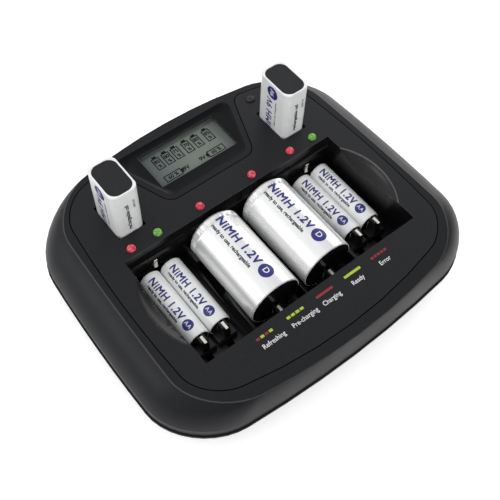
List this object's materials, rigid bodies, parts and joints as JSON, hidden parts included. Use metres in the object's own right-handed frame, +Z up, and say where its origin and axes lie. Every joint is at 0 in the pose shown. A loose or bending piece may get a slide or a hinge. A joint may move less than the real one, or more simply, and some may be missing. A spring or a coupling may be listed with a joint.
{
  "type": "universal battery charger",
  "caption": "Desktop battery charger with a dark bowed body, a bay of sprung contact lanes holding round cells, upright block cells in wells, a display and indicator lamps.",
  "frame": {"origin": "on the table under the middle of the body's outline, level with the undersides of the rubber feet", "axes": "+X to the user's right along the bay, +Y to the back where the display and block cells are, +Z up"},
  "size_m": [0.2248, 0.185, 0.0797],
  "materials": {
    "housing_plastic": "fine-grained dark grey moulding",
    "deck_plastic": "fine-grained near-black moulding, smoother inside the bay",
    "window_clear": "clear flat window",
    "display_glass": "grey-green reflective display with dark segments",
    "circuit_board": "green solder-masked board",
    "black_moulding": "plain black moulding",
    "copper_winding": "enamelled copper winding",
    "lamp_red": "red tinted lens",
    "lamp_green": "green tinted lens",
    "slider_plastic": "smooth black moulding",
    "contact_metal": "bright nickel-plated strip",
    "spring_steel": "drawn steel wire",
    "cell_sleeve": "satin white-silver printed sleeve",
    "cell_foil": "shiny silver foil label",
    "foot_rubber": "black rubber",
    "screw_steel": "zinc-plated steel"
  },
  "bodies": {
    "charger": {"lower_housing": "housing_plastic", "upper_housing": "housing_plastic", "battery_deck": "deck_plastic", "lcd_window": "window_clear", "lcd_module": "display_glass", "display_board": "circuit_board", "indicator_board": "circuit_board", "main_board": "circuit_board", "dc_inlet": "black_moulding", "supply_capacitor": "black_moulding", "button_switch": "black_moulding", "supply_inductor": "copper_winding", "led_1": "lamp_red", "led_2": "lamp_green", "led_3": "lamp_red", "led_4": "lamp_red", "led_5": "lamp_red", "led_6": "lamp_green", "slider_spring_1": "spring_steel", "slider_spring_2": "spring_steel", "slider_spring_3": "spring_steel", "slider_spring_4": "spring_steel", "slider_spring_5": "spring_steel", "slider_spring_6": "spring_steel", "aa_contact_1": "contact_metal", "d_contact_1": "contact_metal", "aa_contact_2": "contact_metal", "d_contact_2": "contact_metal", "aa_contact_3": "contact_metal", "d_contact_3": "contact_metal", "aa_contact_4": "contact_metal", "d_contact_4": "contact_metal", "snap_connector_left": "contact_metal", "snap_connector_right": "contact_metal", "block_cell_left": "cell_sleeve", "block_cell_right": "cell_sleeve", "aa_cell_1": "cell_sleeve", "aa_cell_2": "cell_sleeve", "aa_cell_3": "cell_sleeve", "aa_cell_4": "cell_sleeve", "d_cell_1": "cell_foil", "d_cell_2": "cell_foil", "rubber_feet": "foot_rubber", "case_screws": "screw_steel"},
    "slider_1": {"contact_slider_1": "slider_plastic", "negative_contact_1": "contact_metal"},
    "slider_2": {"contact_slider_2": "slider_plastic", "negative_contact_2": "contact_metal"},
    "slider_3": {"contact_slider_3": "slider_plastic", "negative_contact_3": "contact_metal"},
    "slider_4": {"contact_slider_4": "slider_plastic", "negative_contact_4": "contact_metal"},
    "slider_5": {"contact_slider_5": "slider_plastic", "negative_contact_5": "contact_metal"},
    "slider_6": {"contact_slider_6": "slider_plastic", "negative_contact_6": "contact_metal"},
    "button": {"refresh_button": "black_moulding"}
  },
  "joints": [
    {"name": "slider_1_slide", "type": "slide", "parent": "charger", "child": "slider_1", "axis": [0, -1, 0], "range_m": [0, 0.0115], "stiffness_N_per_m": 150, "deforming": ["slider_spring_1"]},
    {"name": "slider_2_slide", "type": "slide", "parent": "charger", "child": "slider_2", "axis": [0, -1, 0], "range_m": [0, 0.0115], "stiffness_N_per_m": 150, "deforming": ["slider_spring_2"]},
    {"name": "slider_3_slide", "type": "slide", "parent": "charger", "child": "slider_3", "axis": [0, -1, 0], "range_m": [0, 0.002], "stiffness_N_per_m": 150, "deforming": ["slider_spring_3"]},
    {"name": "slider_4_slide", "type": "slide", "parent": "charger", "child": "slider_4", "axis": [0, -1, 0], "range_m": [0, 0.002], "stiffness_N_per_m": 150, "deforming": ["slider_spring_4"]},
    {"name": "slider_5_slide", "type": "slide", "parent": "charger", "child": "slider_5", "axis": [0, -1, 0], "range_m": [0, 0.0115], "stiffness_N_per_m": 150, "deforming": ["slider_spring_5"]},
    {"name": "slider_6_slide", "type": "slide", "parent": "charger", "child": "slider_6", "axis": [0, -1, 0], "range_m": [0, 0.0115], "stiffness_N_per_m": 150, "deforming": ["slider_spring_6"]},
    {"name": "button_press", "type": "slide", "parent": "charger", "child": "button", "axis": [0, 0, -1], "range_m": [0, 0.0006], "stiffness_N_per_m": 900}
  ]
}
